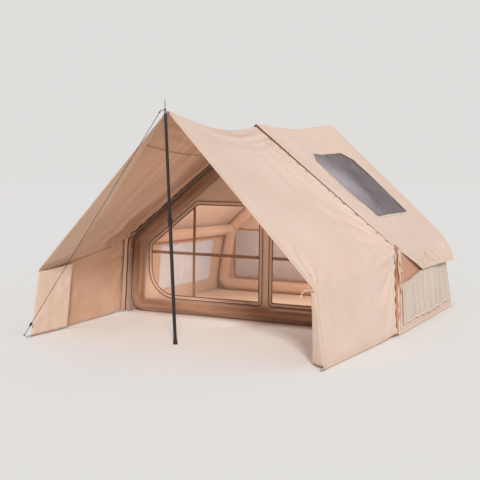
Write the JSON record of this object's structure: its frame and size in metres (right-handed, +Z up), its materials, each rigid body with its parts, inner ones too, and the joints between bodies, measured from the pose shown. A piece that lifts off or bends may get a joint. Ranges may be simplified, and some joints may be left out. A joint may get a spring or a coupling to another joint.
{
  "type": "inflatable_tent",
  "caption": "Inflatable ridge tent in peach canvas: air-beam cabin with mesh doors, side and roof windows, laced-on awning, black pole, guy rope and peg rings",
  "frame": {"origin": "centre of the floor sheet's underside", "axes": "+Z up, +Y towards the rear wall, +X to the right seen from the awning"},
  "size_m": [3.0835, 4.0164, 2.0959],
  "materials": {
    "canvas": "matt cotton-touch canvas",
    "beam_sleeve": "matt woven sleeve",
    "bladder": "smooth airtight film",
    "floor_sheet": "coated woven sheet",
    "window_film": "clear film over fine mesh",
    "skylight_mesh": "dark tinted film over mesh",
    "door_mesh": "fine insect mesh",
    "dark_trim": "dark brown binding and zip tape",
    "black_steel": "black powder coat",
    "bright_metal": "plated",
    "black_plastic": "moulded",
    "foot_rubber": "moulded",
    "dark_rope": "braided cord",
    "pale_cord": "braided cord"
  },
  "bodies": {
    "tent": {"front_beam_sleeve": "beam_sleeve", "front_beam_bladder": "bladder", "rear_beam_sleeve": "beam_sleeve", "rear_beam_bladder": "bladder", "eave_beam_left": "beam_sleeve", "eave_beam_right": "beam_sleeve", "inflation_valve": "black_plastic", "groundsheet": "floor_sheet", "main_roof_left": "canvas", "main_roof_right": "canvas", "skylight_window": "skylight_mesh", "eave_flap_left": "canvas", "eave_flap_right": "canvas", "shoulder_gusset_left": "canvas", "shoulder_gusset_right": "canvas", "side_wall_left": "canvas", "side_wall_right": "canvas", "side_window_left": "window_film", "side_window_right": "window_film", "rear_wall": "canvas", "rear_window": "window_film", "front_wall": "canvas", "door_zip_left": "dark_trim", "door_zip_right": "dark_trim", "awning_roof_left": "canvas", "awning_roof_right": "canvas", "awning_wall_left": "canvas", "awning_wall_right": "canvas", "facing_left": "canvas", "facing_right": "canvas", "awning_zip_left": "dark_trim", "awning_zip_right": "dark_trim", "apex_patch": "canvas", "apex_grommet": "bright_metal", "pole_lower": "black_steel", "pole_foot": "foot_rubber", "guy_rope": "dark_rope", "eave_cord_left": "pale_cord", "eave_cord_right": "pale_cord", "tie_tape_right": "canvas", "flap_cord_right": "pale_cord"},
    "door_left": {"door_panel_left": "door_mesh", "door_trim_left": "dark_trim"},
    "door_right": {"door_panel_right": "door_mesh", "door_trim_right": "dark_trim"},
    "zip_slider_left": {"door_slider_left": "bright_metal"},
    "zip_slider_right": {"door_slider_right": "bright_metal"},
    "front_wing_left": {"wing_left": "canvas"},
    "front_wing_right": {"wing_right": "canvas"},
    "upper_pole": {"pole_upper": "black_steel", "pole_pin": "bright_metal"},
    "twist_collar": {"pole_collar": "black_plastic"},
    "tensioner": {"guy_tensioner": "black_plastic"},
    "cap": {"valve_cap": "black_plastic"},
    "awning_ring_left_body": {"awning_ring_left": "bright_metal"},
    "awning_ring_right_body": {"awning_ring_right": "bright_metal"},
    "corner_ring_front_left_body": {"corner_ring_front_left": "bright_metal"},
    "corner_ring_front_right_body": {"corner_ring_front_right": "bright_metal"},
    "corner_ring_rear_left_body": {"corner_ring_rear_left": "bright_metal"},
    "corner_ring_rear_right_body": {"corner_ring_rear_right": "bright_metal"}
  },
  "joints": [
    {"name": "door_left_swing", "type": "hinge", "parent": "tent", "child": "door_left", "pos_m": [0.005, -0.9347, 0.165], "axis": [0, 0, 1], "range_deg": [0, 85]},
    {"name": "door_right_swing", "type": "hinge", "parent": "tent", "child": "door_right", "pos_m": [0.115, -0.9347, 0.165], "axis": [0, 0, -1], "range_deg": [0, 85]},
    {"name": "zip_left_run", "type": "slide", "parent": "door_left", "child": "zip_slider_left", "axis": [-1, 0, 0], "range_m": [0, 0.8]},
    {"name": "zip_right_run", "type": "slide", "parent": "door_right", "child": "zip_slider_right", "axis": [1, 0, 0], "range_m": [0, 0.7]},
    {"name": "wing_left_fold", "type": "hinge", "parent": "tent", "child": "front_wing_left", "pos_m": [-1.40557, -2.815, 0.01425], "axis": [-0.1449, 0, -0.9894], "range_deg": [0, 82]},
    {"name": "wing_right_fold", "type": "hinge", "parent": "tent", "child": "front_wing_right", "pos_m": [1.40325, -2.815, 0.03008], "axis": [-0.1449, 0, 0.9894], "range_deg": [-38, 42]},
    {"name": "pole_telescope", "type": "slide", "parent": "tent", "child": "upper_pole", "axis": [0.0529, -0.1862, 0.9811], "range_m": [-0.6, 0]},
    {"name": "collar_twist", "type": "hinge", "parent": "tent", "child": "twist_collar", "pos_m": [-0.05074, -2.66645, 1.06133], "axis": [0.0529, -0.1862, 0.9811], "range_deg": [0, 120]},
    {"name": "tensioner_run", "type": "slide", "parent": "tent", "child": "tensioner", "axis": [0.5825, -0.0055, 0.8128], "range_m": [0, 0.5]},
    {"name": "cap_twist", "type": "hinge", "parent": "tent", "child": "cap", "pos_m": [1.36671, 0.9261, 0.38542], "axis": [0, -1, 0], "range_deg": [0, 90]},
    {"name": "awning_ring_left_lift", "type": "hinge", "parent": "tent", "child": "awning_ring_left_body", "pos_m": [-1.41, -2.8375, 0.0165], "axis": [-1, 0, 0], "range_deg": [0, 90]},
    {"name": "awning_ring_right_lift", "type": "hinge", "parent": "tent", "child": "awning_ring_right_body", "pos_m": [1.41, -2.8375, 0.0165], "axis": [-1, 0, 0], "range_deg": [0, 90]},
    {"name": "corner_ring_front_left_lift", "type": "hinge", "parent": "tent", "child": "corner_ring_front_left_body", "pos_m": [-1.458, -1.0975, 0.0165], "axis": [-1, 0, 0], "range_deg": [0, 90]},
    {"name": "corner_ring_front_right_lift", "type": "hinge", "parent": "tent", "child": "corner_ring_front_right_body", "pos_m": [1.458, -1.0975, 0.0165], "axis": [-1, 0, 0], "range_deg": [0, 90]},
    {"name": "corner_ring_rear_left_lift", "type": "hinge", "parent": "tent", "child": "corner_ring_rear_left_body", "pos_m": [-1.458, 1.0975, 0.0165], "axis": [1, 0, 0], "range_deg": [0, 90]},
    {"name": "corner_ring_rear_right_lift", "type": "hinge", "parent": "tent", "child": "corner_ring_rear_right_body", "pos_m": [1.458, 1.0975, 0.0165], "axis": [1, 0, 0], "range_deg": [0, 90]}
  ]
}
